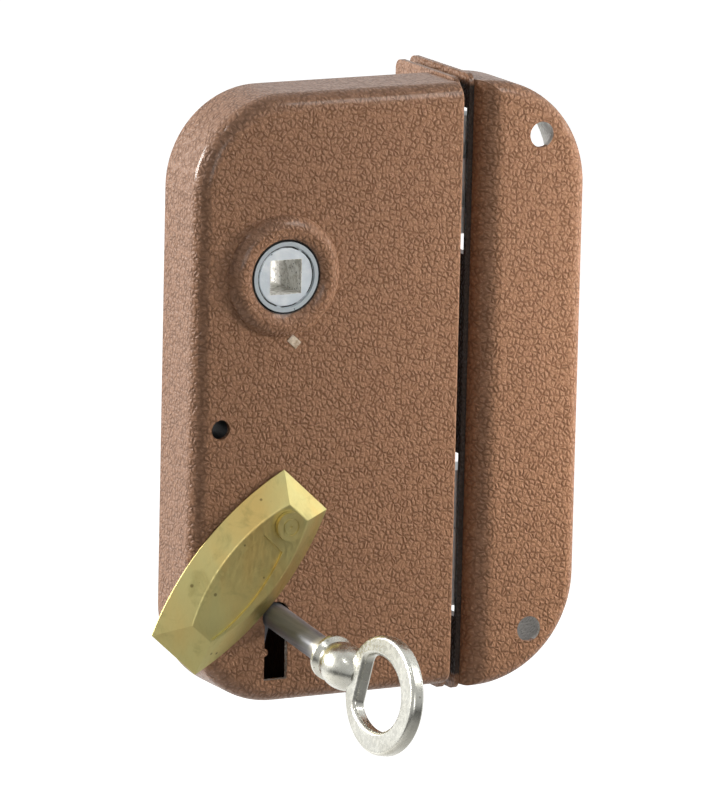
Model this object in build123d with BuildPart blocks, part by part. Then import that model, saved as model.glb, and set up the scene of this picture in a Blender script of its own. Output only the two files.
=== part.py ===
from build123d import *
from math import acos, atan2, cos, radians, sin, sqrt
import os

# Rim box lock with its strike, a two-turn lever dead bolt, a sprung latch and its key.
# Frame: X along the door towards the strike, Y into the door, Z up. The origin is the
# middle of the case's back face, where the lock lies on the door. A depth is measured
# into the case from the plane of its front face.

# Case
case_width = 62.0
case_height = 130.0
case_depth = 16.0
sheet = 1.2
corner_radius = 20.5
front_round = 3.5
closing_round = 0.8
plate_gap = 0.1
cut_over = 1.0

# Axes: the spindle, the key and the pivot of the key cover stand over each other
backset = 42.0
spindle_from_top = 38.2
key_from_bottom = 18.8
cover_pivot_over_key = 20.6
hub_x = case_width / 2 - backset
spindle_height = case_height / 2 - spindle_from_top
key_z = key_from_bottom - case_height / 2
pivot_z = key_z + cover_pivot_over_key

# Face plates on the closing edges of case and strike
plate_thickness = 1.1
plate_start_depth = 4.5
plate_end_depth = 32.0
plate_corner = 2.2
plate_over_top = 0.5
plate_over_bottom = 1.8
edge_screw_depth = 24.0
edge_screw_from_end = 15.0
edge_screw_radius = 2.25

# Raised ring round the hub
boss_radius = 13.0
boss_height = 2.0
boss_lip_height = 1.1
boss_rise_share = 0.72
boss_bulge = 0.25

# Hub
hub_radius = 7.5
hub_gap = 0.3
hub_stand_out = 1.3
hub_groove_inner = 6.1
hub_groove_width = 0.5
hub_groove_depth = 0.5
hub_dish = 0.25
spindle_square = 7.2
hub_disc_radius = 10.8
hub_disc_thickness = 1.6
arm_width = 5.0
arm_rail_gap = 0.3
rear_spool_radius = 9.0
journal_gap = 0.06
running_gap = 0.3

# Latch
latch_from_top = 8.0
latch_height = 25.3
bolt_start_depth = 6.4
bolt_back_gap = 0.6
latch_reach = 11.9
latch_rear_inside = 14.0
latch_tip_flat = 1.4
latch_bevel_start = 1.2
groove_height = 3.7
groove_depth = 2.3
groove_length = 15.0
groove_top = 5.5
groove_pitch = 10.5
latch_nose_round = 0.6
latch_window_gap = 0.35
tail_thickness = 3.0
rail_height = 6.4
rail_top_under_latch = 2.4
lug_thickness = 3.1
lug_over_disc = 1.9
lug_gap = 0.4
lug_chamfer = 5.0
rail_slot_width = 3.3
rail_post_radius = 1.5
rail_post_from_rear = 18.0
latch_travel = 11.0
slot_play = 0.5
peg_radius = 1.6
peg_length = 3.0
spring_drop_under_latch = 15.5

# Latch spring and its seat
latch_wire = 0.8
latch_coil_radius = 2.6
latch_turns = 8
seat_thickness = 2.6
seat_height = 8.4
seat_width = 8.8
seat_from_rear = 21.6

# Hub spring and the staked tab that anchors it
hub_wire = 1.0
hub_coil_radius = 8.7
hub_coil_pitch = 1.35
hub_turns = 2.25
hub_spring_depth = 4.2
hub_leg = 11.4
hub_end_leg = 3.0
anchor_width = 2.7
anchor_thickness = 1.8
anchor_radius = 14.4
anchor_end_depth = 7.4
anchor_stand_out = 0.1
anchor_gap = 0.1
leg_gap = 0.25
anchor_offset_x = 2.8
anchor_turn = -42.0

# Dead bolt
dead_bolt_height = 29.5
dead_bolt_under_key = 2.9
dead_bolt_reach = 14.0
dead_bolt_rear_inside = 14.0
dead_bolt_round = 1.0
dead_bolt_travel = 14.0
bolt_window_gap = 0.35
bolt_tail_length = 31.0
bolt_tail_bottom_over_key = 14.2
bolt_tail_height = 10.4
bolt_tail_slot_width = 4.2
guide_post_radius = 2.0
guide_post_shoulder = 3.2
guide_post_from_key = 3.0
stump_from_rear = 4.0
stump_radius = 1.7

# Levers
lever_start_depth = 2.2
lever_thickness = 1.1
lever_pitch = 1.35
lever_count = 3
lever_pivot_from_key = 11.5
lever_pivot_over_key = 25.2
lever_pivot_radius = 2.0
lever_pin_gap = 0.06
lever_boss_radius = 4.0
lever_past_stump = 5.0
lever_top_over_key = 26.4
lever_foot_over_key = 11.2
belly_radius = 13.3
belly_centre_over_key = 0.8
gate_height = 4.2
gate_play = 1.0
lever_lift = 6.0
pocket_extra = 0.9
lever_round = 1.5

# Lever springs: thin strips under a fixed post
strip_thickness = 0.45
strip_from_pivot = 5.5
strip_length = 20.0
strip_rise = 4.6
strip_bow = 0.9
spring_post_radius = 2.0
spring_post_past_strip = 0.5
spring_post_gap = 0.3

# Pillars, back plate screws and the through bush
pillar_radius = 3.2
screw_radius = 1.5
screw_bore_gap = 0.05
screw_head_radius = 2.4
countersink_angle = 90.0
screw_length = 9.0
screw_head_gap = 0.06
slot_width = 0.8
slot_depth = 0.5
pillar_from_top = 6.8
pillar_from_closing = 8.0
pillar_from_side = 12.5
pillar_from_bottom = 8.0
low_pillar_from_closing = 16.0
bush_from_side = 6.1
bush_over_key = 41.2
bush_bore_radius = 2.1
bush_radius = 2.6

# Keyhole
keyhole_radius = 3.25
keyway_width = 5.4
keyway_drop = 13.6
ward_radius = 0.85
ward_drop = 7.6

# Key
key_droop = 6.5
key_roll = 10.0
key_entry_depth = 0.6
shank_radius = 2.8
shank_end = 25.4
key_tip = 13.2
key_tip_radius = 2.0
bit_radius = 12.4
bit_start = 3.6
bit_length = 7.4
bit_thickness = 2.3
bit_step = 1.15
bit_step_width = 1.3
bit_step_shares = (1, 2, 0, 1)
collar_start = 24.6
socket_gap = 0.03
collar_small_radius = 3.3
flange_start = 26.4
flange_end = 27.3
flange_radius = 4.9
collar_groove_end = 28.6
collar_groove_radius = 4.2
ball_middle = 32.2
ball_radius = 4.9
ball_end = 39.0
ball_end_radius = 1.8
bow_centre = 50.6
bow_half_length = 14.3
bow_half_height = 12.2
bow_thickness = 3.0
bow_hole_half_length = 9.0
bow_hole_half_height = 7.6
bow_round = 0.9
bow_hole_far_length = 10.5
bow_hole_corner = 2.2

# Key cover: a pressed boat-shaped shell on one rivet
cover_length = 44.8
cover_end_width = 13.8
cover_middle_width = 21.6
cover_sheet = 0.8
cover_rise = 4.2
cover_lift = 0.35
cover_brim = 0.3
cover_angle = 42.4
cover_pivot_from_middle = 13.65
ridge_top = 17.2
ridge_bottom = 15.6
ridge_end_half_width = 2.9
ridge_middle_half_width = 6.6
ridge_fillet = 0.8
panel_top = 8.7
panel_bottom = 15.0
panel_inset = 1.9
panel_depth = 0.5
cover_hole_radius = 1.65
rivet_head_radius = 3.1
rivet_head_height = 1.2
rivet_shoulder_radius = 2.6
rivet_shank_radius = 1.5
rivet_tail_radius = 2.4
rivet_tail_height = 0.6
rivet_gap = 0.15
rivet_ring_radius = 1.9
rivet_ring_width = 0.35
rivet_ring_depth = 0.2
rivet_dot_radius = 0.3

# Strike
strike_gap = 2.2
strike_width = 25.5
strike_bend = 5.5
strike_over = 0.55
strike_drop = 0.55
strike_corner_radius = 23.5
strike_plate_over = 1.15
strike_front_round = 3.0
strike_over_latch = 1.8
strike_under_latch = 4.3
strike_over_bolt = 3.9
strike_under_bolt = 2.3
strike_window_front_gap = 0.9
strike_window_back_gap = 0.8
strike_hole_radius = 2.75
strike_hole_from_bend = 14.1
strike_hole_from_end = 11.9

# Rivets that hold the face plates
plate_rivet_radius = 1.5
plate_rivet_head = 2.3
plate_rivet_head_height = 0.5
plate_rivet_depth = 9.0
plate_rivet_from_top = 4.5
plate_rivet_from_bottom = 5.0
plate_rivet_from_window = 7.6
strike_rivet_from_end = 3.7

front = -case_depth
wall_x = case_width / 2
plate_x = wall_x + plate_thickness
strike_plate_x = plate_x + strike_gap
strike_x = strike_plate_x + plate_thickness
latch_top = case_height / 2 - latch_from_top
latch_bottom = latch_top - latch_height
latch_middle = latch_top - latch_height / 2
dead_bolt_bottom = key_z - dead_bolt_under_key
dead_bolt_top = dead_bolt_bottom + dead_bolt_height
dead_bolt_middle = dead_bolt_bottom + dead_bolt_height / 2
bolt_end_depth = case_depth - sheet - bolt_back_gap
bolt_thickness = bolt_end_depth - bolt_start_depth
tail_start_depth = bolt_start_depth + (bolt_thickness - tail_thickness) / 2
tail_end_depth = tail_start_depth + tail_thickness
rail_top = latch_top - rail_top_under_latch
rail_bottom = rail_top - rail_height
latch_rear_x = wall_x - latch_rear_inside
dead_bolt_rear_x = wall_x - dead_bolt_rear_inside
lever_pivot_x = hub_x - lever_pivot_from_key
bush_x = bush_from_side - wall_x
bush_z = key_z + bush_over_key
left_pillar_top = spindle_height - hub_disc_radius
left_pillar_bottom = key_z + lever_pivot_over_key + lever_boss_radius
pillar_places = (
    (latch_rear_x - rail_post_from_rear, case_height / 2 - pillar_from_top),
    (wall_x - pillar_from_closing, (latch_bottom + dead_bolt_top) / 2),
    (pillar_from_side - wall_x, (left_pillar_top + left_pillar_bottom) / 2),
    (wall_x - low_pillar_from_closing, pillar_from_bottom - case_height / 2),
)
case_rivet_heights = (
    case_height / 2 - plate_rivet_from_top,
    latch_bottom - plate_rivet_from_window,
    dead_bolt_top + plate_rivet_from_window,
    plate_rivet_from_bottom - case_height / 2,
)
strike_height = case_height + 2 * strike_over
strike_middle_z = -strike_drop
strike_top = strike_middle_z + strike_height / 2
strike_bottom = strike_middle_z - strike_height / 2
strike_windows = (
    (latch_bottom - strike_under_latch, latch_top + strike_over_latch),
    (dead_bolt_bottom - strike_under_bolt, dead_bolt_top + strike_over_bolt),
)
strike_rivet_heights = (
    strike_top - strike_rivet_from_end,
    (strike_windows[0][0] + strike_windows[1][1]) / 2,
    strike_bottom + strike_over + plate_rivet_from_bottom,
)
strike_hole_x = strike_x + strike_hole_from_bend
strike_hole_heights = (strike_top - strike_hole_from_end, strike_bottom + strike_hole_from_end)
back_face = Plane(origin=(0, 0, 0), x_dir=(1, 0, 0), z_dir=(0, 1, 0))


# Plane parallel to the front face, a depth behind it, facing outwards
def behind_face(depth):
    return Plane.XZ.offset(case_depth - depth)


# Plane square to X, with local x along Y and local y along Z
def beside(x):
    return Plane(origin=(x, 0, 0), x_dir=(0, 1, 0), z_dir=(1, 0, 0))


def finish(piece, name):
    piece.part.label = name
    export_step(piece.part, f"parts/{name}.step")


os.makedirs("parts", exist_ok=True)

# Front case: pressed box with rounded free edge, open at the back
with BuildPart() as case_cavity:
    with BuildSketch(Plane.XZ) as cavity_outline:
        Rectangle(case_width - 2 * sheet, case_height - 2 * sheet)
        fillet(cavity_outline.vertices().group_by(Axis.X)[0], corner_radius - sheet)
    extrude(amount=case_depth - sheet)
    cavity_front = case_cavity.edges().group_by(Axis.Y)[0].sort_by(Axis.X)
    fillet(cavity_front[:-1], front_round - sheet)

with BuildPart() as case_body:
    with BuildSketch(Plane.XZ) as case_outline:
        Rectangle(case_width, case_height)
        fillet(case_outline.vertices().group_by(Axis.X)[0], corner_radius)
    extrude(amount=case_depth)
    front_edges = case_body.edges().group_by(Axis.Y)[0].sort_by(Axis.X)
    fillet(front_edges[:-1], front_round)
    closing_edges = case_body.faces().sort_by(Axis.X)[-1].edges()
    fillet(closing_edges.filter_by(lambda e: e.center().Y < front + front_round), closing_round)

hub_section = Plane(origin=(hub_x, front, spindle_height), x_dir=(1, 0, 0), z_dir=(0, 0, 1))
hub_axis = Axis((hub_x, front, spindle_height), (0, 1, 0))
hub_hole_radius = hub_radius + hub_gap
crest_radius = hub_hole_radius + (boss_radius - hub_hole_radius) / 2
foot_inner = boss_radius - sheet
window_front = front + bolt_start_depth - latch_window_gap
window_back = front + bolt_end_depth + latch_window_gap
window_middle = (window_front + window_back) / 2
window_depth = window_back - window_front


# Round hole and keyway on a plane whose local axes are X and Z
def keyhole_shape():
    with Locations((hub_x, key_z)):
        Circle(keyhole_radius)
    with Locations((hub_x, key_z - keyway_drop / 2)):
        Rectangle(keyway_width, keyway_drop)


with BuildPart() as front_case:
    add(case_body.part)
    add(case_cavity.part, mode=Mode.SUBTRACT)
    with BuildSketch(behind_face(0)):
        with Locations((hub_x, spindle_height)):
            Circle(foot_inner)
    extrude(amount=-2 * sheet, mode=Mode.SUBTRACT)
    with BuildSketch(hub_section):
        with BuildLine():
            ThreePointArc(
                (boss_radius, 0),
                (boss_radius - sheet, -boss_height * boss_rise_share),
                (crest_radius, -boss_height),
            )
            ThreePointArc(
                (crest_radius, -boss_height),
                ((crest_radius + hub_hole_radius) / 2, -(boss_height + boss_lip_height) / 2 - boss_bulge),
                (hub_hole_radius, -boss_lip_height),
            )
            Line((hub_hole_radius, -boss_lip_height), (hub_hole_radius, sheet - boss_lip_height))
            Line((hub_hole_radius, sheet - boss_lip_height), (crest_radius, sheet - boss_height))
            Line((crest_radius, sheet - boss_height), (foot_inner, sheet))
            Line((foot_inner, sheet), (boss_radius, sheet))
            Line((boss_radius, sheet), (boss_radius, 0))
        make_face()
    revolve(axis=hub_axis, revolution_arc=360)
    # Keyhole with its ward on the left side
    with BuildSketch(behind_face(0)):
        keyhole_shape()
        with Locations((hub_x - keyway_width / 2, key_z - ward_drop)):
            Circle(ward_radius, mode=Mode.SUBTRACT)
    extrude(amount=-2 * sheet, mode=Mode.SUBTRACT)
    # Holes for the cover rivet, the through bush and the staked tab
    with BuildSketch(behind_face(0)):
        with Locations((hub_x, pivot_z)):
            Circle(rivet_shank_radius)
        with Locations((bush_x, bush_z)):
            Circle(bush_bore_radius)
        anchor_z = spindle_height - sqrt(anchor_radius**2 - anchor_offset_x**2)
        with Locations(Location((hub_x + anchor_offset_x, anchor_z), anchor_turn)):
            Rectangle(anchor_width + anchor_gap, anchor_thickness + anchor_gap)
    extrude(amount=-2 * sheet, mode=Mode.SUBTRACT)
    # Windows for latch and bolt, and rivet holes, through the closing wall
    with BuildSketch(beside(wall_x - 2 * sheet)):
        with Locations((window_middle, latch_middle)):
            Rectangle(window_depth, latch_height + 2 * latch_window_gap)
        with Locations((window_middle, dead_bolt_middle)):
            Rectangle(window_depth, dead_bolt_height + 2 * bolt_window_gap)
        with Locations(*[(front + plate_rivet_depth, z) for z in case_rivet_heights]):
            Circle(plate_rivet_radius)
    extrude(amount=2 * sheet + cut_over, mode=Mode.SUBTRACT)
finish(front_case, "front_case")

# Face plate of the lock, lapping round the door's edge
plate_depth = plate_end_depth - plate_start_depth
plate_middle = front + plate_start_depth + plate_depth / 2
plate_height = case_height + plate_over_top + plate_over_bottom
with BuildPart() as face_plate:
    with BuildSketch(beside(wall_x)):
        with Locations((plate_middle, (plate_over_top - plate_over_bottom) / 2)):
            RectangleRounded(plate_depth, plate_height, plate_corner)
        with Locations((window_middle, latch_middle)):
            Rectangle(window_depth, latch_height + 2 * latch_window_gap, mode=Mode.SUBTRACT)
        with Locations((window_middle, dead_bolt_middle)):
            Rectangle(window_depth, dead_bolt_height + 2 * bolt_window_gap, mode=Mode.SUBTRACT)
        with Locations((front + edge_screw_depth, 0)):
            with GridLocations(plate_depth, case_height - 2 * edge_screw_from_end, 1, 2):
                Circle(edge_screw_radius, mode=Mode.SUBTRACT)
        with Locations(*[(front + plate_rivet_depth, z) for z in case_rivet_heights]):
            Circle(plate_rivet_radius, mode=Mode.SUBTRACT)
    extrude(amount=plate_thickness)
finish(face_plate, "face_plate")


# Rivets flush in a plate's outer face, through the wall, with a low head inside
def plate_rivets(heights, outer_x, inner_x):
    shank = abs(inner_x - outer_x)
    inward = 1 if inner_x > outer_x else -1
    with BuildPart() as rivets:
        for z in heights:
            at = Plane(
                origin=(outer_x, front + plate_rivet_depth, z),
                x_dir=(0, 1, 0),
                z_dir=(inward, 0, 0),
            )
            with BuildSketch(at):
                Circle(plate_rivet_radius)
            extrude(amount=shank)
            with BuildSketch(at.offset(shank)):
                Circle(plate_rivet_head)
            extrude(amount=plate_rivet_head_height)
    return rivets


face_plate_rivets = plate_rivets(case_rivet_heights, plate_x, wall_x - sheet)
finish(face_plate_rivets, "face_plate_rivets")

# Back plate, let into the back of the case
plate_left = sheet + plate_gap
with BuildPart() as back_plate:
    with BuildSketch(Plane.XZ) as back_outline:
        Rectangle(case_width - 2 * plate_left, case_height - 2 * plate_left)
        fillet(back_outline.vertices().group_by(Axis.X)[0], corner_radius - plate_left)
        with Locations((hub_x, spindle_height)):
            Circle(hub_radius + journal_gap, mode=Mode.SUBTRACT)
        with Locations((bush_x, bush_z)):
            Circle(bush_bore_radius, mode=Mode.SUBTRACT)
        with Locations((lever_pivot_x, key_z + lever_pivot_over_key)):
            Circle(lever_pivot_radius + lever_pin_gap, mode=Mode.SUBTRACT)
    extrude(amount=sheet)
    with BuildSketch(Plane.XZ.offset(-cut_over)):
        keyhole_shape()
    extrude(amount=2 * sheet + cut_over, mode=Mode.SUBTRACT)
    with Locations(back_face):
        with Locations(*[(x, -z) for x, z in pillar_places]):
            CounterSinkHole(
                screw_radius + screw_bore_gap,
                screw_head_radius + screw_head_gap,
                2 * sheet,
                countersink_angle,
            )
finish(back_plate, "back_plate")

# Pillars fixed inside the case, and the screws that hold the back plate to them
inner_depth = case_depth - 2 * sheet
with BuildPart() as case_pillars:
    with BuildSketch(Plane.XZ.offset(sheet)):
        with Locations(*pillar_places):
            Circle(pillar_radius)
    extrude(amount=inner_depth)
    with BuildSketch(Plane.XZ.offset(sheet)):
        with Locations(*pillar_places):
            Circle(screw_radius + screw_bore_gap)
    extrude(amount=screw_length, mode=Mode.SUBTRACT)
finish(case_pillars, "case_pillars")

with BuildPart() as back_plate_screws:
    with BuildSketch(Plane.XZ):
        with Locations(*pillar_places):
            Circle(screw_radius)
    extrude(amount=screw_length)
    with Locations(*[Plane(origin=(x, 0, z), z_dir=(0, -1, 0)) for x, z in pillar_places]):
        Cone(
            screw_head_radius,
            screw_radius,
            screw_head_radius - screw_radius,
            align=(Align.CENTER, Align.CENTER, Align.MIN),
        )
    with BuildSketch(Plane.XZ):
        with Locations(*pillar_places):
            Rectangle(2 * screw_head_radius, slot_width)
    extrude(amount=slot_depth, mode=Mode.SUBTRACT)
finish(back_plate_screws, "back_plate_screws")

# Tube between front and back for the screw into the door
with BuildPart() as fixing_bush:
    with BuildSketch(Plane.XZ.offset(sheet)):
        with Locations((bush_x, bush_z)):
            Circle(bush_radius)
            Circle(bush_bore_radius, mode=Mode.SUBTRACT)
    extrude(amount=inner_depth)
finish(fixing_bush, "fixing_bush")

# Hub with its cam arm, turning in the boss and in the back plate
hub_front_depth = -hub_stand_out
disc_start_depth = sheet + running_gap
disc_end_depth = disc_start_depth + hub_disc_thickness
arm_reach = rail_bottom - arm_rail_gap - arm_width / 2 - spindle_height
rear_spool_end = case_depth - sheet - running_gap
with BuildPart() as hub:
    with BuildSketch(behind_face(case_depth)):
        with Locations((hub_x, spindle_height)):
            Circle(hub_radius)
    extrude(amount=case_depth - hub_front_depth)
    with BuildSketch(behind_face(disc_end_depth)):
        with Locations((hub_x, spindle_height)):
            Circle(hub_disc_radius)
    extrude(amount=hub_disc_thickness)
    with BuildSketch(behind_face(rear_spool_end)):
        with Locations((hub_x, spindle_height)):
            Circle(rear_spool_radius)
    extrude(amount=rear_spool_end - tail_end_depth)
    with BuildSketch(behind_face(tail_end_depth)):
        with Locations((hub_x, spindle_height)):
            Circle(hub_disc_radius)
        with Locations((hub_x, spindle_height + arm_reach / 2)):
            Rectangle(arm_width, arm_reach)
        with Locations((hub_x, spindle_height + arm_reach)):
            Circle(arm_width / 2)
    extrude(amount=tail_thickness)
    with BuildSketch(behind_face(hub_front_depth)):
        with Locations((hub_x, spindle_height)):
            Circle(hub_groove_inner + hub_groove_width)
            Circle(hub_groove_inner, mode=Mode.SUBTRACT)
    extrude(amount=-hub_groove_depth, mode=Mode.SUBTRACT)
    with BuildSketch(behind_face(hub_front_depth)):
        with Locations((hub_x, spindle_height)):
            Circle(hub_groove_inner)
    extrude(amount=-hub_dish, mode=Mode.SUBTRACT)
    with BuildSketch(behind_face(case_depth + cut_over)):
        with Locations((hub_x, spindle_height)):
            Rectangle(spindle_square, spindle_square)
    extrude(amount=case_depth + hub_stand_out + 2 * cut_over, mode=Mode.SUBTRACT)
finish(hub, "hub")

# Tab staked through the front under the boss, where the hub spring rests
with BuildPart() as spring_anchor:
    with BuildSketch(behind_face(anchor_end_depth)):
        with Locations(Location((hub_x + anchor_offset_x, anchor_z), anchor_turn)):
            Rectangle(anchor_width, anchor_thickness)
    extrude(amount=anchor_end_depth + anchor_stand_out)
finish(spring_anchor, "spring_anchor")

# Torsion spring round the hub's spool
leg_reach = hub_coil_radius + hub_wire / 2 + anchor_thickness / 2 + leg_gap
leg_start = atan2(anchor_z - spindle_height, anchor_offset_x) - acos(leg_reach / anchor_radius)
spring_plane = Plane(
    origin=(hub_x, front + hub_spring_depth, spindle_height),
    x_dir=(cos(leg_start), 0, sin(leg_start)),
    z_dir=(0, 1, 0),
)
with BuildPart() as hub_spring:
    with BuildLine() as hub_coil:
        Helix(hub_coil_pitch, hub_turns * hub_coil_pitch, hub_coil_radius)
    hub_path = hub_coil.line.moved(spring_plane.location)
    with BuildSketch(Plane(origin=hub_path @ 0, z_dir=hub_path % 0)):
        Circle(hub_wire / 2)
    sweep(path=hub_path, is_frenet=True)
    with BuildSketch(Plane(origin=hub_path @ 0, z_dir=hub_path % 0)):
        Circle(hub_wire / 2)
    extrude(amount=-hub_leg)
    with BuildSketch(Plane(origin=hub_path @ 1, z_dir=hub_path % 1)):
        Circle(hub_wire / 2)
    extrude(amount=hub_end_leg)
finish(hub_spring, "hub_spring")

# Latch: bevelled head, tail with a slot for its guide post, and the lug that the arm pushes
latch_tip_x = plate_x + latch_reach
lug_bottom = spindle_height + hub_disc_radius + lug_over_disc
rail_post_x = latch_rear_x - rail_post_from_rear
seat_x = latch_rear_x - seat_from_rear
lug_right_x = hub_x - arm_width / 2 - lug_gap
lug_left_x = lug_right_x - lug_thickness
slot_left_x = rail_post_x - rail_post_radius - slot_play
slot_right_x = rail_post_x + latch_travel + rail_post_radius + slot_play
rail_middle = (rail_top + rail_bottom) / 2
spring_axis_z = latch_top - spring_drop_under_latch
coil_depth = bolt_start_depth + bolt_thickness / 2
with BuildPart() as latch_bolt:
    with BuildSketch(Plane.XY.offset(latch_top - latch_height)):
        with BuildLine():
            Polyline(
                (latch_rear_x, front + bolt_start_depth),
                (latch_tip_x, front + bolt_start_depth),
                (latch_tip_x, front + bolt_start_depth + latch_tip_flat),
                (plate_x + latch_bevel_start, front + bolt_end_depth),
                (latch_rear_x, front + bolt_end_depth),
                close=True,
            )
        make_face()
    extrude(amount=latch_height)
    fillet(latch_bolt.edges().filter_by(Axis.Z).group_by(Axis.X)[-1], latch_nose_round)
    for drop in (groove_top, groove_top + groove_pitch):
        with BuildSketch(behind_face(bolt_start_depth)):
            with Locations((latch_tip_x - groove_length / 2, latch_top - drop - groove_height / 2)):
                Rectangle(groove_length + cut_over, groove_height)
        extrude(amount=-groove_depth, mode=Mode.SUBTRACT)
    with BuildSketch(behind_face(tail_start_depth + tail_thickness)):
        with BuildLine():
            Polyline(
                (latch_rear_x, rail_bottom),
                (lug_right_x, rail_bottom),
                (lug_right_x, lug_bottom),
                (lug_left_x, lug_bottom),
                (lug_left_x, rail_top - lug_chamfer),
                (lug_left_x + lug_chamfer, rail_top),
                (latch_rear_x, rail_top),
                close=True,
            )
        make_face()
        with Locations(((slot_left_x + slot_right_x) / 2, rail_middle)):
            SlotOverall(slot_right_x - slot_left_x, rail_slot_width, mode=Mode.SUBTRACT)
    extrude(amount=tail_thickness)
    with BuildSketch(beside(latch_rear_x - peg_length)):
        with Locations((front + coil_depth, spring_axis_z)):
            Circle(peg_radius)
    extrude(amount=peg_length)
finish(latch_bolt, "latch_bolt")

# Post on the back plate that guides the latch tail
with BuildPart() as latch_guide_post:
    with BuildSketch(Plane.XZ.offset(sheet)):
        with Locations((rail_post_x, rail_middle)):
            Circle(guide_post_shoulder)
    extrude(amount=inner_depth + sheet - tail_start_depth - tail_thickness - running_gap)
    with BuildSketch(Plane.XZ.offset(sheet)):
        with Locations((rail_post_x, rail_middle)):
            Circle(rail_post_radius)
    extrude(amount=inner_depth + sheet - tail_start_depth + running_gap)
finish(latch_guide_post, "latch_guide_post")

# Seat of the latch spring, standing on the back plate
with BuildPart() as latch_spring_seat:
    with BuildSketch(beside(seat_x - seat_thickness / 2)):
        with Locations((-sheet - seat_width / 2, spring_axis_z)):
            Rectangle(seat_width, seat_height)
    extrude(amount=seat_thickness)
    with BuildSketch(beside(seat_x)):
        with Locations((front + coil_depth, spring_axis_z)):
            Circle(peg_radius)
    extrude(amount=peg_length + seat_thickness / 2)
finish(latch_spring_seat, "latch_spring_seat")

# Compression spring behind the latch
coil_start_x = seat_x + seat_thickness / 2 + latch_wire / 2
coil_length = latch_rear_x - latch_wire / 2 - coil_start_x
coil_plane = Plane(
    origin=(coil_start_x, front + coil_depth, spring_axis_z), x_dir=(0, 0, 1), z_dir=(1, 0, 0)
)
with BuildPart() as latch_spring:
    with BuildLine() as latch_coil:
        Helix(coil_length / latch_turns, coil_length, latch_coil_radius)
    latch_path = latch_coil.line.moved(coil_plane.location)
    with BuildSketch(Plane(origin=latch_path @ 0, z_dir=latch_path % 0)):
        Circle(latch_wire / 2)
    sweep(path=latch_path, is_frenet=True)
finish(latch_spring, "latch_spring")

# Dead bolt: thick head through the closing wall, thin tail under the levers
dead_bolt_tip_x = plate_x + dead_bolt_reach
tail_bottom = key_z + bolt_tail_bottom_over_key
tail_top = tail_bottom + bolt_tail_height
tail_middle = (tail_bottom + tail_top) / 2
guide_post_x = hub_x + guide_post_from_key
stump_x = dead_bolt_rear_x - stump_from_rear
bolt_tail_left_x = dead_bolt_rear_x - bolt_tail_length
bolt_slot_x = guide_post_x - guide_post_radius - running_gap
bolt_slot_right_x = guide_post_x + dead_bolt_travel + guide_post_radius + slot_play
lever_pivot_z = key_z + lever_pivot_over_key
tail_step_x = lever_pivot_x + lever_pivot_radius + dead_bolt_travel + 2 * running_gap
tail_step_z = lever_pivot_z - lever_pivot_radius - running_gap
with BuildPart() as dead_bolt:
    with BuildSketch(behind_face(bolt_end_depth)):
        with Locations(((dead_bolt_rear_x + dead_bolt_tip_x) / 2, dead_bolt_middle)):
            Rectangle(dead_bolt_tip_x - dead_bolt_rear_x, dead_bolt_height)
    extrude(amount=bolt_thickness)
    fillet(dead_bolt.faces().sort_by(Axis.X)[-1].edges(), dead_bolt_round)
    with BuildSketch(behind_face(bolt_start_depth + tail_thickness)):
        with BuildLine():
            Polyline(
                (bolt_tail_left_x, tail_bottom),
                (dead_bolt_rear_x, tail_bottom),
                (dead_bolt_rear_x, tail_top),
                (tail_step_x, tail_top),
                (tail_step_x, tail_step_z),
                (bolt_tail_left_x, tail_step_z),
                close=True,
            )
        make_face()
        with Locations(((bolt_slot_x + bolt_slot_right_x) / 2, tail_middle)):
            SlotOverall(bolt_slot_right_x - bolt_slot_x, bolt_tail_slot_width, mode=Mode.SUBTRACT)
    extrude(amount=tail_thickness)
    with BuildSketch(behind_face(bolt_start_depth + tail_thickness)):
        with Locations((stump_x, tail_middle)):
            Circle(stump_radius)
    extrude(amount=tail_thickness, mode=Mode.SUBTRACT)
finish(dead_bolt, "dead_bolt")

# Stump pressed into the bolt tail, which the lever gates let through
stump_front_depth = lever_start_depth - running_gap
with BuildPart() as bolt_stump:
    with BuildSketch(behind_face(bolt_start_depth + tail_thickness)):
        with Locations((stump_x, tail_middle)):
            Circle(stump_radius)
    extrude(amount=bolt_start_depth + tail_thickness - stump_front_depth)
finish(bolt_stump, "bolt_stump")

# Post on the back plate that guides the bolt tail
with BuildPart() as bolt_guide_post:
    with BuildSketch(Plane.XZ.offset(sheet)):
        with Locations((guide_post_x, tail_middle)):
            Circle(guide_post_shoulder)
    extrude(amount=inner_depth + sheet - bolt_start_depth - tail_thickness - running_gap)
    with BuildSketch(Plane.XZ.offset(sheet)):
        with Locations((guide_post_x, tail_middle)):
            Circle(guide_post_radius)
    extrude(amount=inner_depth + sheet - bolt_start_depth)
finish(bolt_guide_post, "bolt_guide_post")

# Pin that carries the levers, from the front wall to the back plate
with BuildPart() as lever_pivot_pin:
    with BuildSketch(Plane.XZ):
        with Locations((lever_pivot_x, lever_pivot_z)):
            Circle(lever_pivot_radius)
    extrude(amount=case_depth - sheet)
finish(lever_pivot_pin, "lever_pivot_pin")

# Levers, with gates that the stump passes and pockets at both ends of its travel
belly_z = key_z + belly_centre_over_key
belly_left_x = lever_pivot_x + lever_boss_radius + lever_round
belly_left_z = belly_z + sqrt(belly_radius**2 - (hub_x - belly_left_x) ** 2)
foot_z = key_z + lever_foot_over_key
belly_right_x = hub_x + sqrt(belly_radius**2 - (foot_z - belly_z) ** 2)
lever_top = key_z + lever_top_over_key
lever_right_x = stump_x + lever_past_stump
stump_back_x = stump_x - dead_bolt_travel
gate_left_x = stump_back_x - stump_radius - gate_play
gate_right_x = stump_x + stump_radius + gate_play
lift_sin = sin(radians(lever_lift))
pocket_width = 2 * stump_radius + 2 * gate_play


def pocket_drop(x):
    return (x - lever_pivot_x) * lift_sin + pocket_extra


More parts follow.
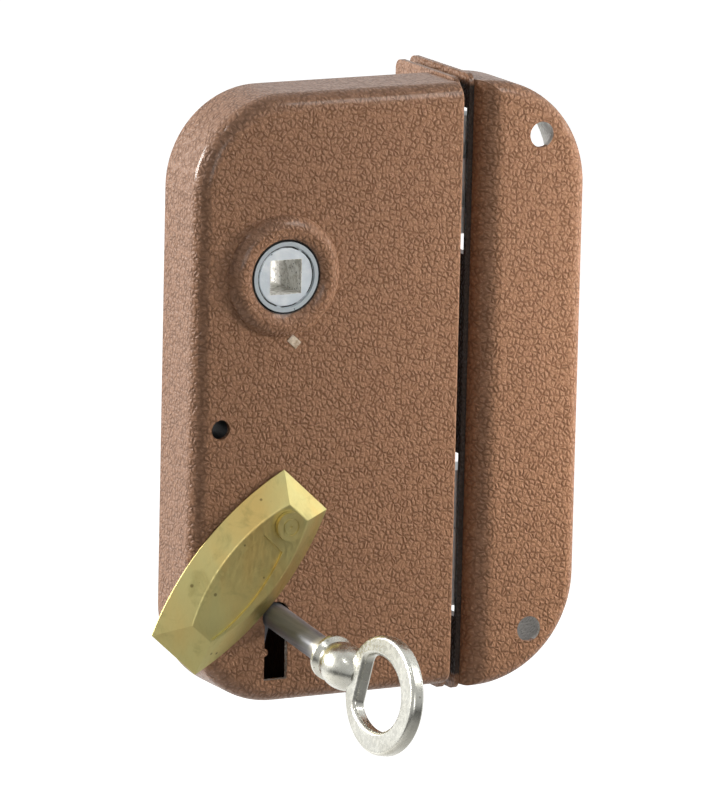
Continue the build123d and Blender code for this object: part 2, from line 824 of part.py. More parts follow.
def make_lever(number):
    rear_depth = lever_start_depth + (number - 1) * lever_pitch + lever_thickness
    with BuildPart() as lever:
        with BuildSketch(behind_face(rear_depth)):
            with BuildLine():
                Line((lever_pivot_x, lever_top), (lever_right_x, lever_top))
                Line((lever_right_x, lever_top), (lever_right_x, foot_z))
                Line((lever_right_x, foot_z), (belly_right_x, foot_z))
                ThreePointArc(
                    (belly_right_x, foot_z),
                    (hub_x, belly_z + belly_radius),
                    (belly_left_x, belly_left_z),
                )
                Line((belly_left_x, belly_left_z), (lever_pivot_x, lever_pivot_z))
                Line((lever_pivot_x, lever_pivot_z), (lever_pivot_x, lever_top))
            make_face()
            with Locations((lever_pivot_x, lever_pivot_z)):
                Circle(lever_boss_radius)
                Circle(lever_pivot_radius + lever_pin_gap, mode=Mode.SUBTRACT)
            with Locations(((gate_left_x + gate_right_x) / 2, tail_middle)):
                Rectangle(gate_right_x - gate_left_x, gate_height, mode=Mode.SUBTRACT)
            for x in (stump_back_x, stump_x):
                with Locations((x, tail_middle - pocket_drop(x) / 2)):
                    Rectangle(pocket_width, gate_height + pocket_drop(x), mode=Mode.SUBTRACT)
        extrude(amount=lever_thickness)
    return lever


strip_start_x = lever_pivot_x + strip_from_pivot
strip_end_x = strip_start_x + strip_length
spring_post_x = strip_end_x + spring_post_past_strip


# Strip spring of a lever, rooted on its top edge and bent up to the fixed post
def make_strip(number):
    rear_depth = lever_start_depth + (number - 1) * lever_pitch + lever_thickness
    middle = ((strip_start_x + strip_end_x) / 2, lever_top + strip_rise / 2 - strip_bow)
    with BuildPart() as strip:
        with BuildSketch(behind_face(rear_depth)):
            with BuildLine():
                ThreePointArc(
                    (strip_start_x, lever_top), middle, (strip_end_x, lever_top + strip_rise)
                )
                offset(amount=strip_thickness, side=Side.LEFT)
            make_face()
        extrude(amount=lever_thickness)
    return strip


for number in range(1, lever_count + 1):
    finish(make_lever(number), f"lever_{number}")
    finish(make_strip(number), f"lever_spring_{number}")

# Post that the lever springs press against
spring_post_z = lever_top + strip_rise + strip_thickness + spring_post_gap + spring_post_radius
with BuildPart() as lever_spring_post:
    with BuildSketch(behind_face(case_depth - sheet)):
        with Locations((spring_post_x, spring_post_z)):
            Circle(spring_post_radius)
    extrude(amount=inner_depth)
finish(lever_spring_post, "lever_spring_post")

# Key: drooping in its keyhole and rolled a little, as it hangs in the lock
droop = radians(key_droop)
roll = radians(key_roll)
key_out = Vector(0, -cos(droop), -sin(droop))
key_side = Vector(cos(roll), sin(droop) * sin(roll), -cos(droop) * sin(roll))
key_plane = Plane(origin=(hub_x, front + key_entry_depth, key_z), x_dir=key_side, z_dir=key_out)
key_section = Plane(origin=key_plane.origin, x_dir=key_plane.y_dir, z_dir=key_side)
key_axis = Axis(key_plane.origin, key_out)

with BuildPart() as key_shank:
    with BuildSketch(key_plane.offset(-key_tip)):
        Circle(key_tip_radius)
    extrude(amount=key_tip)
    with BuildSketch(key_plane.offset(-bit_start - bit_length)):
        Circle(shank_radius)
    extrude(amount=bit_start + bit_length + shank_end)
    with BuildSketch(key_plane.offset(-bit_start - bit_length)):
        with Locations((0, -bit_radius / 2)):
            Rectangle(bit_thickness, bit_radius)
    extrude(amount=bit_length)
    # Steps cut in the bit's end for the levers
    for place, share in enumerate(bit_step_shares):
        if share:
            with BuildSketch(key_plane.offset(-bit_start - place * bit_step_width)):
                with Locations((0, -bit_radius)):
                    Rectangle(2 * bit_thickness, 2 * share * bit_step)
            extrude(amount=-bit_step_width, mode=Mode.SUBTRACT)
finish(key_shank, "key_shank")

# Bow: an oval ring with rounded edges, cast with its collar on the end of the shank
bow_plane = Plane(origin=key_plane.origin, x_dir=key_out, z_dir=key_side * -1)
with BuildPart() as key_bow:
    with BuildSketch(bow_plane):
        with Locations((bow_centre, 0)):
            Ellipse(bow_half_length, bow_half_height)
        with BuildSketch(bow_plane, mode=Mode.SUBTRACT) as bow_hole:
            with Locations((bow_centre + bow_hole_half_length - bow_hole_far_length, 0)):
                Ellipse(bow_hole_far_length, bow_hole_half_height)
            with Locations((bow_centre - bow_hole_half_length, 0)):
                Rectangle(
                    bow_half_length,
                    2 * bow_half_height,
                    align=(Align.MAX, Align.CENTER),
                    mode=Mode.SUBTRACT,
                )
            fillet(bow_hole.vertices(), bow_hole_corner)
    extrude(amount=bow_thickness / 2, both=True)
    fillet(key_bow.edges().filter_by(lambda e: e.length > bow_thickness), bow_round)
    with BuildSketch(key_section):
        with BuildLine():
            Polyline(
                (0, ball_end),
                (0, shank_end),
                (shank_radius + socket_gap, shank_end),
                (shank_radius + socket_gap, collar_start),
                (collar_small_radius, collar_start),
                (flange_radius, flange_start),
                (flange_radius, flange_end),
                (collar_groove_radius, collar_groove_end),
            )
            ThreePointArc(
                (collar_groove_radius, collar_groove_end),
                (ball_radius, ball_middle),
                (ball_end_radius, ball_end),
            )
            Line((ball_end_radius, ball_end), (0, ball_end))
        make_face()
    revolve(axis=key_axis, revolution_arc=360)
finish(key_bow, "key_bow")

# Key cover: local x across the cover, local y along it from the rivet towards its upper end
swing = radians(cover_angle)
cover_along = Vector(sin(swing), 0, cos(swing))
cover_across = Vector(cos(swing), 0, -sin(swing))
cover_middle = Vector(hub_x, front, pivot_z) - cover_along * cover_pivot_from_middle
cover_top = cover_lift + cover_rise


def over_face(height):
    origin = cover_middle + Vector(0, -height, 0)
    return Plane(origin=origin, x_dir=cover_across, z_dir=(0, -1, 0))


# Outline with straight ends and bowed sides
def boat(top, bottom, end_half, middle_half):
    with BuildSketch() as outline:
        with BuildLine():
            Line((-end_half, top), (end_half, top))
            ThreePointArc((end_half, top), (middle_half, (top + bottom) / 2), (end_half, bottom))
            Line((end_half, bottom), (-end_half, bottom))
            ThreePointArc((-end_half, bottom), (-middle_half, (top + bottom) / 2), (-end_half, top))
        make_face()
    return outline.sketch


half_length = cover_length / 2
end_half = cover_end_width / 2
middle_half = cover_middle_width / 2
inner_ceiling = cover_top - cover_sheet - panel_depth
with BuildPart() as cover_inside:
    with BuildSketch(over_face(cover_lift - cut_over)):
        add(
            boat(
                half_length - cover_sheet,
                cover_sheet - half_length,
                end_half - cover_sheet,
                middle_half - cover_sheet,
            )
        )
    with BuildSketch(over_face(inner_ceiling)):
        add(
            boat(
                ridge_top - cover_sheet,
                cover_sheet - ridge_bottom,
                ridge_end_half_width,
                ridge_middle_half_width,
            )
        )
    loft(ruled=True)

with BuildPart() as key_cover:
    with BuildSketch(over_face(cover_lift + cover_brim)):
        add(boat(half_length, -half_length, end_half, middle_half))
    with BuildSketch(over_face(cover_top)):
        add(boat(ridge_top, -ridge_bottom, ridge_end_half_width, ridge_middle_half_width))
    loft(ruled=True)
    with BuildSketch(over_face(cover_lift)):
        add(boat(half_length, -half_length, end_half, middle_half))
    extrude(amount=cover_brim)
    fillet(key_cover.faces().sort_by(Axis.Y)[0].edges(), ridge_fillet)
    with BuildSketch(over_face(cover_top)):
        add(
            boat(
                panel_top,
                -panel_bottom,
                ridge_end_half_width,
                ridge_middle_half_width - panel_inset,
            )
        )
    extrude(amount=-panel_depth, mode=Mode.SUBTRACT)
    add(cover_inside.part, mode=Mode.SUBTRACT)
    with BuildSketch(over_face(cover_top)):
        with Locations((0, cover_pivot_from_middle)):
            Circle(cover_hole_radius)
    extrude(amount=-cover_top, mode=Mode.SUBTRACT)
finish(key_cover, "key_cover")

# Rivet of the cover: shoulder, neck and head in front of the wall, peened tail behind it
rivet_under_head = cover_top + rivet_gap
rivet_top = rivet_under_head + rivet_head_height
with BuildPart() as cover_rivet:
    with BuildSketch(behind_face(sheet)):
        with Locations((hub_x, pivot_z)):
            Circle(rivet_shank_radius)
    extrude(amount=sheet + rivet_under_head)
    with BuildSketch(behind_face(sheet + rivet_tail_height)):
        with Locations((hub_x, pivot_z)):
            Circle(rivet_tail_radius)
    extrude(amount=rivet_tail_height)
    with BuildSketch(behind_face(0)):
        with Locations((hub_x, pivot_z)):
            Circle(rivet_shoulder_radius)
    extrude(amount=inner_ceiling - rivet_gap)
    with BuildSketch(behind_face(-rivet_under_head)):
        with Locations((hub_x, pivot_z)):
            Circle(rivet_head_radius)
    extrude(amount=rivet_head_height)
    with BuildSketch(behind_face(-rivet_top)):
        with Locations((hub_x, pivot_z)):
            Circle(rivet_ring_radius)
            Circle(rivet_ring_radius - rivet_ring_width, mode=Mode.SUBTRACT)
            Circle(rivet_dot_radius)
    extrude(amount=-rivet_ring_depth, mode=Mode.SUBTRACT)
finish(cover_rivet, "cover_rivet")

# Strike: pressed box with a rolled left bend and rounded free corners, open at the back
strike_right_x = strike_x + strike_width
strike_middle_x = (strike_x + strike_right_x) / 2


# Body of the strike box, or its inside where inset is the sheet
def strike_solid(inset, depth):
    with BuildPart() as body:
        with BuildSketch(Plane.XZ) as outline:
            with Locations((strike_middle_x, strike_middle_z)):
                Rectangle(strike_width - 2 * inset, strike_height - 2 * inset)
            fillet(outline.vertices().group_by(Axis.X)[-1], strike_corner_radius - inset)
        extrude(amount=depth)
        edges = body.edges().group_by(Axis.Y)[0].sort_by(Axis.X)
        fillet(edges[1:], strike_front_round - inset)
        with BuildSketch(Plane.XY.offset(strike_bottom)) as bend:
            with Locations((strike_middle_x, -depth / 2)):
                Rectangle(strike_width - 2 * inset, depth)
            fillet(bend.vertices().group_by(Axis.X)[0].sort_by(Axis.Y)[0], strike_bend - inset)
        extrude(amount=strike_height, mode=Mode.INTERSECT)
    return body


strike_inside = strike_solid(sheet, case_depth - sheet)
strike_outside = strike_solid(0, case_depth)
strike_window_front = front + bolt_start_depth - strike_window_front_gap
strike_window_back = front + bolt_end_depth + strike_window_back_gap
strike_window_middle = (strike_window_front + strike_window_back) / 2
strike_window_depth = strike_window_back - strike_window_front
with BuildPart() as strike_box:
    add(strike_outside.part)
    add(strike_inside.part, mode=Mode.SUBTRACT)
    with BuildSketch(behind_face(0)):
        with Locations(*[(strike_hole_x, z) for z in strike_hole_heights]):
            Circle(strike_hole_radius)
    extrude(amount=-2 * sheet, mode=Mode.SUBTRACT)
    with BuildSketch(beside(strike_x - cut_over)):
        for low, high in strike_windows:
            with Locations((strike_window_middle, (low + high) / 2)):
                Rectangle(strike_window_depth, high - low)
        with Locations(*[(front + plate_rivet_depth, z) for z in strike_rivet_heights]):
            Circle(plate_rivet_radius)
    extrude(amount=2 * sheet + cut_over, mode=Mode.SUBTRACT)
finish(strike_box, "strike_box")

with BuildPart() as strike_plate:
    with BuildSketch(beside(strike_plate_x)):
        with Locations((plate_middle, strike_middle_z)):
            RectangleRounded(plate_depth, strike_height + 2 * strike_plate_over, plate_corner)
        for low, high in strike_windows:
            with Locations((strike_window_middle, (low + high) / 2)):
                Rectangle(strike_window_depth, high - low, mode=Mode.SUBTRACT)
        with Locations(
            (front + edge_screw_depth, case_height / 2 - edge_screw_from_end),
            (front + edge_screw_depth, edge_screw_from_end - case_height / 2),
        ):
            Circle(edge_screw_radius, mode=Mode.SUBTRACT)
        with Locations(*[(front + plate_rivet_depth, z) for z in strike_rivet_heights]):
            Circle(plate_rivet_radius, mode=Mode.SUBTRACT)
    extrude(amount=plate_thickness)
finish(strike_plate, "strike_plate")

strike_rivets = plate_rivets(strike_rivet_heights, strike_plate_x, strike_x + sheet)
finish(strike_rivets, "strike_rivets")
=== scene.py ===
import math

import bpy
from mathutils import Matrix, Vector


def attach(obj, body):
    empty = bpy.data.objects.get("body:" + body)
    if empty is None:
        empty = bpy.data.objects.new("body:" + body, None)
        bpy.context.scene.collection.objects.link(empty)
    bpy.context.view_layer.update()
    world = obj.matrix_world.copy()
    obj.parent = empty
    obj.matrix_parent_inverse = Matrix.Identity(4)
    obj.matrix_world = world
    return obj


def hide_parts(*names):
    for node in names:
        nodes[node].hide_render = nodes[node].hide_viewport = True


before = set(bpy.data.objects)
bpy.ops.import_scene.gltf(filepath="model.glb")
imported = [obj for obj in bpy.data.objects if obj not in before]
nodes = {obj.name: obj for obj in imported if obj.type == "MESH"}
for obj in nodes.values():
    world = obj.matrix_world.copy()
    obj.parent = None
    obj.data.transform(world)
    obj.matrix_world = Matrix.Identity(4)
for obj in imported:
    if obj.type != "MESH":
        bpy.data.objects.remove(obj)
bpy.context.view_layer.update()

scene = bpy.context.scene
print("lock loaded:", len(nodes), "pieces")


# Node trees

def feed(tree, socket, value):
    if isinstance(value, bpy.types.NodeSocket):
        tree.links.new(value, socket)
    else:
        socket.default_value = value


def addNode(tree, kind, inputs=None, **settings):
    made = tree.nodes.new(kind)
    for name, value in settings.items():
        setattr(made, name, value)
    for name, value in (inputs or {}).items():
        feed(tree, made.inputs[name], value)
    return made


def calc(tree, operation, first, second=0.0, third=0.0):
    inputs = {0: first, 1: second, 2: third}
    return addNode(tree, "ShaderNodeMath", inputs, operation=operation).outputs[0]


def plus(tree, first, second):
    return calc(tree, "ADD", first, second)


def minus(tree, first, second):
    return calc(tree, "SUBTRACT", first, second)


def times(tree, first, second):
    return calc(tree, "MULTIPLY", first, second)


def scaledPlus(tree, first, factor, rest):
    return calc(tree, "MULTIPLY_ADD", first, factor, rest)


def larger(tree, first, second):
    return calc(tree, "MAXIMUM", first, second)


def below(tree, value, limit):
    return calc(tree, "LESS_THAN", value, limit)


def above(tree, value, limit):
    return calc(tree, "GREATER_THAN", value, limit)


def unsigned(tree, value):
    return calc(tree, "ABSOLUTE", value)


def fade(tree, value, low, high, start=0.0, end=1.0):  # smooth step from low to high
    inputs = {"Value": value, "From Min": low, "From Max": high, "To Min": start, "To Max": end}
    return addNode(tree, "ShaderNodeMapRange", inputs, interpolation_type="SMOOTHSTEP").outputs["Result"]


def mix(tree, factor, first, second):
    made = addNode(tree, "ShaderNodeMix", data_type="RGBA", blend_type="MIX")
    feed(tree, made.inputs[0], factor)
    feed(tree, made.inputs[6], first)
    feed(tree, made.inputs[7], second)
    return made.outputs[2]


def noise(tree, vector, scale, detail=2.0, roughness=0.5, distortion=0.0):
    inputs = {"Vector": vector, "Scale": scale, "Detail": detail, "Roughness": roughness,
              "Distortion": distortion}
    return addNode(tree, "ShaderNodeTexNoise", inputs).outputs[0]


def mapping(tree, vector, turn=(0, 0, 0), scale=(1, 1, 1)):
    inputs = {"Vector": vector, "Rotation": turn, "Scale": scale}
    return addNode(tree, "ShaderNodeMapping", inputs).outputs[0]


def split(tree, vector):
    return addNode(tree, "ShaderNodeSeparateXYZ", {0: vector}).outputs[:]


def triple(tree, x, y, z):
    return addNode(tree, "ShaderNodeCombineXYZ", {"X": x, "Y": y, "Z": z}).outputs[0]


def tint(red, green, blue):  # a screen colour, 0 to 255
    def linear(c):
        return c / 255 / 12.92 if c <= 10 else ((c / 255 + 0.055) / 1.055) ** 2.4
    return (linear(red), linear(green), linear(blue), 1.0)


def newGroup(name, ins, outs):
    tree = bpy.data.node_groups.new(name, "ShaderNodeTree")
    for label, value in ins.items():
        kind = "NodeSocketVector" if value is None else "NodeSocketFloat"
        socket = tree.interface.new_socket(name=label, in_out="INPUT", socket_type=kind)
        if value is not None:
            socket.default_value = value
    for label in outs:
        tree.interface.new_socket(name=label, in_out="OUTPUT", socket_type="NodeSocketFloat")
    return tree, tree.nodes.new("NodeGroupInput").outputs, tree.nodes.new("NodeGroupOutput").inputs


def useGroup(tree, group, **inputs):
    made = tree.nodes.new("ShaderNodeGroup")
    made.node_tree = group
    for name, value in inputs.items():
        feed(tree, made.inputs[name], value)
    return made.outputs


# Effects that several finishes share

toneShape = {  # lengths and scales are shares of one cell
    "drift scale": 0.9, "drift": 0.75, "uneven scale": 0.6, "uneven": (0.35, 0.62, 0.45, 1.0),
    "small cells": 1.9, "small width": 0.9, "small share": 0.28,
    "glint scale": 2.2, "glints": (0.56, 0.7), "glints off furrows": (0.6, 0.1),
}


def flatOnSide(tree, place, normal):  # coordinates on whichever side a face looks to
    x, y, z = split(tree, place)
    looksX, looksY, looksZ = (unsigned(tree, part) for part in split(tree, normal))
    notY = below(tree, looksY, larger(tree, looksX, looksZ))
    sideways = times(tree, notY, above(tree, looksX, looksZ))
    upright = minus(tree, notY, sideways)
    across = scaledPlus(tree, minus(tree, y, x), sideways, x)
    along = scaledPlus(tree, minus(tree, y, z), upright, z)
    return triple(tree, across, along, 0.0)


def makeHammerTone(shape):  # dense round lumps with soft dark furrows, whose darker colour is partly the paint's own tone and partly painted shade in the creases
    ins = {"Vector": None, "Normal": None, "Cells": 800.0, "Furrow": 0.3}
    tree, start, end = newGroup("hammerTone", ins, ["Furrows", "Domes", "Glints"])
    cells = start["Cells"]
    flat = flatOnSide(tree, start["Vector"], start["Normal"])
    drift = addNode(tree, "ShaderNodeTexNoise", {"Vector": flat, "Detail": 2.0,
                    "Scale": times(tree, cells, shape["drift scale"])})
    push = calc(tree, "DIVIDE", shape["drift"], cells)
    bent = addNode(tree, "ShaderNodeVectorMath", {0: drift.outputs["Color"], 1: push, 2: flat},
                   operation="MULTIPLY_ADD").outputs[0]

    def furrowsAt(share, width):
        inputs = {"Vector": bent, "Scale": times(tree, cells, share)}
        edge = addNode(tree, "ShaderNodeTexVoronoi", inputs, voronoi_dimensions="2D",
                       feature="DISTANCE_TO_EDGE").outputs["Distance"]
        return fade(tree, edge, times(tree, start["Furrow"], width), 0.0)

    uneven = fade(tree, noise(tree, flat, times(tree, cells, shape["uneven scale"])), *shape["uneven"])
    large = times(tree, furrowsAt(1.0, 1.0), uneven)
    small = times(tree, furrowsAt(shape["small cells"], shape["small width"]), shape["small share"])
    furrows = larger(tree, large, small)
    feed(tree, end["Furrows"], furrows)
    feed(tree, end["Domes"], minus(tree, 1.0, furrows))
    fine = noise(tree, flat, times(tree, cells, shape["glint scale"]), 1.0)
    glints = fade(tree, fine, *shape["glints"])
    feed(tree, end["Glints"], times(tree, glints, fade(tree, furrows, *shape["glints off furrows"])))
    return tree


def makeSpecks():  # small scattered marks of uneven size
    tree, start, end = newGroup("specks", {"Vector": None, "Scale": 500.0, "Share": 0.3}, ["Mask"])
    cell = addNode(tree, "ShaderNodeTexVoronoi", {"Vector": start["Vector"], "Scale": start["Scale"]})
    chance = split(tree, cell.outputs["Color"])[0]
    largest, core = 0.34, 0.45  # radius as a share of a cell, and the full part of that radius
    radius = times(tree, fade(tree, chance, minus(tree, 1.0, start["Share"]), 1.0), largest)
    feed(tree, end["Mask"], fade(tree, cell.outputs["Distance"], radius, times(tree, radius, core)))
    return tree


def makeGrain():  # fine lines, and clouds between them
    tree, start, end = newGroup("grain", {"Vector": None, "Lines": 4000.0, "Clouds": 120.0},
                                ["Lines", "Clouds"])
    lines = noise(tree, start["Vector"], start["Lines"], 3.0, 0.65)
    clouds = noise(tree, start["Vector"], start["Clouds"], 3.0, 0.55, 0.4)
    contrast = (0.3, 0.7)
    feed(tree, end["Lines"], fade(tree, lines, *contrast))
    feed(tree, end["Clouds"], fade(tree, clouds, *contrast))
    return tree


hammerTone = makeHammerTone(toneShape)
specks = makeSpecks()
grain = makeGrain()


# Finishes

def newFinish(name):
    made = bpy.data.materials.new(name)
    made.use_nodes = True
    tree = made.node_tree
    place = tree.nodes.new("ShaderNodeTexCoord").outputs["Object"]
    return made, tree, tree.nodes["Principled BSDF"].inputs, place


def bump(tree, height, depth, normal=None):
    made = addNode(tree, "ShaderNodeBump", {"Height": height, "Distance": depth, "Strength": 1.0})
    if normal is not None:
        feed(tree, made.inputs["Normal"], normal)
    return made.outputs[0]


def specksOn(tree, place, scale, share):
    return useGroup(tree, specks, Vector=place, Scale=scale, Share=share)["Mask"]


def grainOn(tree, place, lines, clouds):
    return useGroup(tree, grain, Vector=place, Lines=lines, Clouds=clouds)


def fromAxis(tree, place, axis):  # sideways and upward distance from an axis into the door
    x, y, z = split(tree, place)
    return minus(tree, x, axis[0]), minus(tree, z, axis[1])


def radiusFrom(tree, place, axis):
    dx, dz = fromAxis(tree, place, axis)
    return calc(tree, "SQRT", plus(tree, times(tree, dx, dx), times(tree, dz, dz)))


def roughOver(tree, pattern, look):
    return fade(tree, pattern, 0.0, 1.0, look["roughness"], look["roughness"] + look["spread"])


keyAxis = (-0.011, -0.0462)
hubAxis = (-0.011, 0.0268)
paintLook = {
    "ground": (146, 107, 80), "furrow": (114, 80, 56), "rim": (172, 132, 102), "paintedShade": (12, 9, 7),
    "bare": (222, 222, 218), "cut edge": (205, 190, 176),
    "cells": 860.0,  # per metre, so lumps of about 1.2 mm
    "furrow width": 0.46, "relief": 0.00022, "peel": 0.00004, "peel scale": 0.35, "glint share": 0.8,
    "roughness": 0.46, "spread": 0.2, "shine": 0.34, "coat": 0.3, "coat roughness": 0.13,
    "hub gap shade": (0.0082, 0.0078), "plate front": -0.0105, "plate ends": (0.0645, 0.0635),
    "plate shade share": 0.92, "hollow from": 0.05,
    "keyhole width": (0.0036, 0.0034), "keyhole top": (-0.0417, -0.0421),
    "keyhole foot": (-0.0612, -0.0606),
    "wear scale": 700.0, "wear": (0.42, 0.5), "facing": 0.5, "walls": 0.4,  # parts of a normal
}


def plateGapShade(tree, look, place, normal):  # painted shade: the front edge and the side that the other plate faces go near black, for the dark gap between the plates
    x, y, z = split(tree, place)
    facingSide = times(tree, below(tree, y, 0.0), below(tree, split(tree, normal)[0], -look["facing"]))
    edge = larger(tree, below(tree, y, look["plate front"]), facingSide)
    edge = times(tree, edge, fade(tree, unsigned(tree, z), *look["plate ends"]))
    return times(tree, edge, look["plate shade share"])


def strikeHollow(tree, look, place, normal):
    x = split(tree, place)[0]
    looksX, looksY, looksZ = split(tree, normal)
    farWall = times(tree, above(tree, x, look["hollow from"]), below(tree, looksX, -look["facing"]))
    return larger(tree, above(tree, looksY, look["facing"]), farWall)


def keyholeEdge(tree, look, place, normal):  # bare metal where the keyhole was cut
    x, y, z = split(tree, place)
    across = unsigned(tree, minus(tree, x, keyAxis[0]))
    beside = times(tree, fade(tree, across, *look["keyhole width"]),
                   fade(tree, z, *look["keyhole top"]))
    walls = below(tree, unsigned(tree, split(tree, normal)[1]), look["walls"])
    bare = times(tree, times(tree, beside, fade(tree, z, *look["keyhole foot"])), walls)
    return times(tree, bare, fade(tree, noise(tree, place, look["wear scale"]), *look["wear"]))


def hammeredPaint(name, look, facing=False, bareInside=False):
    made, tree, shader, place = newFinish(name)
    normal = tree.nodes["Texture Coordinate"].outputs["Normal"]
    tone = useGroup(tree, hammerTone, Vector=place, Normal=normal, Cells=look["cells"],
                    Furrow=look["furrow width"])
    # darker in the furrows: partly the paint's own tone, partly painted shade in the creases
    face = mix(tree, tone["Furrows"], tint(*look["ground"]), tint(*look["furrow"]))
    face = mix(tree, times(tree, tone["Glints"], look["glint share"]), face, tint(*look["rim"]))
    # painted shade: within about 8 mm of the hub's axis the paint goes near black, for the shadowed gap
    # round the hub
    paintedShade = fade(tree, radiusFrom(tree, place, hubAxis), *look["hub gap shade"])
    face = mix(tree, paintedShade, face, tint(*look["paintedShade"]))
    if facing:
        # painted shade on the strike plate: near black where it faces the other plate and on its front
        # edge
        face = mix(tree, plateGapShade(tree, look, place, normal), face, tint(*look["paintedShade"]))
    if bareInside:
        face = mix(tree, strikeHollow(tree, look, place, normal), face, tint(*look["bare"]))
    bare = keyholeEdge(tree, look, place, normal)
    feed(tree, shader["Base Color"], mix(tree, bare, face, tint(*look["cut edge"])))
    feed(tree, shader["Metallic"], bare)
    shader["Specular IOR Level"].default_value = look["shine"]
    shader["Coat Weight"].default_value = look["coat"]
    shader["Coat Roughness"].default_value = look["coat roughness"]
    feed(tree, shader["Roughness"], roughOver(tree, tone["Furrows"], look))
    relief = bump(tree, tone["Domes"], look["relief"])
    peel = noise(tree, place, look["cells"] * look["peel scale"])
    feed(tree, shader["Normal"], bump(tree, peel, look["peel"], relief))
    return made


zincLook = {
    "face": (244, 249, 252), "shade": (222, 230, 236), "pit": (84, 87, 92), "bright": (196, 204, 208),
    "sand_with_painted_light": (246, 246, 242), "sand_dark_with_painted_light": (190, 187, 178), "near black": (14, 15, 16),
    "roughness": 0.36, "spread": 0.14, "lines": 2600.0, "clouds": 260.0, "pits": (900.0, 0.16),
    "line height": 0.4, "relief": 0.00003,
    "socket": 0.0037, "lip": 0.0068, "groove": (0.0064, 0.0068), "rim": 0.0076,  # half width, then radii
    "socket edge": 0.00003, "soft edge": 0.0001, "rim edge": 0.0002, "wobble": (420.0, 0.0005),
    "sand scale": 900.0, "sand range": (0.35, 0.62), "sand pits": (1500.0, 0.5), "sand height": 3.0,
    "groove line breaks": (260.0, 0.3, 0.42), "sand roughness": 0.15, "hub metal": 0.6, "dull metal": 0.45,
}
boltLook = {**zincLook, "face": (226, 232, 236), "shade": (206, 214, 220)}


def hubFace(tree, look, place, face, rough, height):  # bright lip, a near-black line in the groove, painted shade round the rim, and a rough square socket whose cast colour is painted lighter
    dx, dz = (unsigned(tree, part) for part in fromAxis(tree, place, hubAxis))
    inside = fade(tree, larger(tree, dx, dz), look["socket"], look["socket"] - look["socket edge"])
    # painted light: the socket's own rough cast colour is made near white, so that its dim inside reads
    # light
    wide = noise(tree, place, look["sand scale"], 4.0, 0.6)
    sand_with_painted_light = mix(tree, fade(tree, wide, *look["sand range"]), tint(*look["sand_dark_with_painted_light"]), tint(*look["sand_with_painted_light"]))
    sand_with_painted_light = mix(tree, specksOn(tree, place, *look["sand pits"]), sand_with_painted_light, tint(*look["pit"]))
    radius = radiusFrom(tree, place, hubAxis)
    wobbleScale, wobbleDepth = look["wobble"]
    wobble = scaledPlus(tree, noise(tree, place, wobbleScale, 3.0), wobbleDepth, radius)
    soft = look["soft edge"]
    face = mix(tree, fade(tree, wobble, look["lip"] - soft, look["lip"]), face, tint(*look["bright"]))
    inner, outer = look["groove"]
    # a near-black line along the groove, broken by noise
    groove = times(tree, fade(tree, wobble, inner, inner + soft), fade(tree, wobble, outer, outer - soft))
    gapScale, gapLow, gapHigh = look["groove line breaks"]
    groove = times(tree, groove, fade(tree, noise(tree, place, gapScale), gapLow, gapHigh))
    face = mix(tree, groove, face, tint(*look["near black"]))
    # painted shade: the hub's outer edge goes near black, for the shadowed gap between hub and case
    rim = fade(tree, radius, look["rim"] - look["rim edge"], look["rim"])
    face = mix(tree, inside, mix(tree, rim, face, tint(*look["near black"])), sand_with_painted_light)
    rough = plus(tree, rough, times(tree, inside, look["sand roughness"]))
    dull = times(tree, larger(tree, inside, groove), look["dull metal"])
    height = plus(tree, height, times(tree, times(tree, wide, inside), look["sand height"]))
    return face, rough, height, minus(tree, look["hub metal"], dull)


def zincCasting(name, look, metal=1.0, socket=False):
    made, tree, shader, place = newFinish(name)
    lines = grainOn(tree, place, look["lines"], look["clouds"])
    marks = specksOn(tree, place, *look["pits"])
    face = mix(tree, lines["Clouds"], tint(*look["shade"]), tint(*look["face"]))
    rough = roughOver(tree, lines["Lines"], look)
    height = minus(tree, times(tree, lines["Lines"], look["line height"]), marks)
    if socket:
        face, rough, height, metal = hubFace(tree, look, place, face, rough, height)
    feed(tree, shader["Base Color"], mix(tree, marks, face, tint(*look["pit"])))
    feed(tree, shader["Metallic"], metal)
    feed(tree, shader["Roughness"], rough)
    feed(tree, shader["Normal"], bump(tree, height, look["relief"]))
    return made


brassLook = {
    "face": (192, 184, 126), "warm": (204, 178, 112), "dull": (146, 138, 88), "mark": (96, 84, 50),
    "roughness": 0.36, "spread": 0.12, "pivot": (-0.011, -0.0256), "turn": (0, 0.74, 0),
    "stretch": (1, 1, 0.25), "lines": 1800.0, "clouds": 90.0, "marks": (620.0, 0.12),
    "smear noise": (170.0, 4.0, 0.6, 0.6), "smear": (0.5, 0.72),
    "smear share": 0.45, "mark share": 0.7, "smear roughness": 0.12,
    "line height": 0.25, "mark height": 0.5, "rings": 21000.0, "ring height": 0.3, "relief": 0.00002,
}


def satinBrass(name, look, turned=False):
    made, tree, shader, place = newFinish(name)
    brushed = mapping(tree, place, turn=look["turn"], scale=look["stretch"])
    lines = grainOn(tree, brushed, look["lines"], look["clouds"])
    marks = specksOn(tree, place, *look["marks"])
    smear = fade(tree, noise(tree, place, *look["smear noise"]), *look["smear"])
    face = mix(tree, lines["Clouds"], tint(*look["face"]), tint(*look["warm"]))
    face = mix(tree, times(tree, smear, look["smear share"]), face, tint(*look["dull"]))
    face = mix(tree, times(tree, marks, look["mark share"]), face, tint(*look["mark"]))
    height = minus(tree, times(tree, lines["Lines"], look["line height"]),
                   times(tree, marks, look["mark height"]))
    if turned:  # lathe rings about the rivet's axis
        rings = calc(tree, "SINE", times(tree, radiusFrom(tree, place, look["pivot"]), look["rings"]))
        height = plus(tree, height, times(tree, rings, look["ring height"]))
    feed(tree, shader["Base Color"], face)
    feed(tree, shader["Metallic"], 1.0)
    rough = plus(tree, roughOver(tree, lines["Lines"], look), times(tree, smear, look["smear roughness"]))
    feed(tree, shader["Roughness"], rough)
    feed(tree, shader["Normal"], bump(tree, height, look["relief"]))
    return made


metalShape = {"mark share": 0.8, "line height": 0.3, "border scale": 300.0}


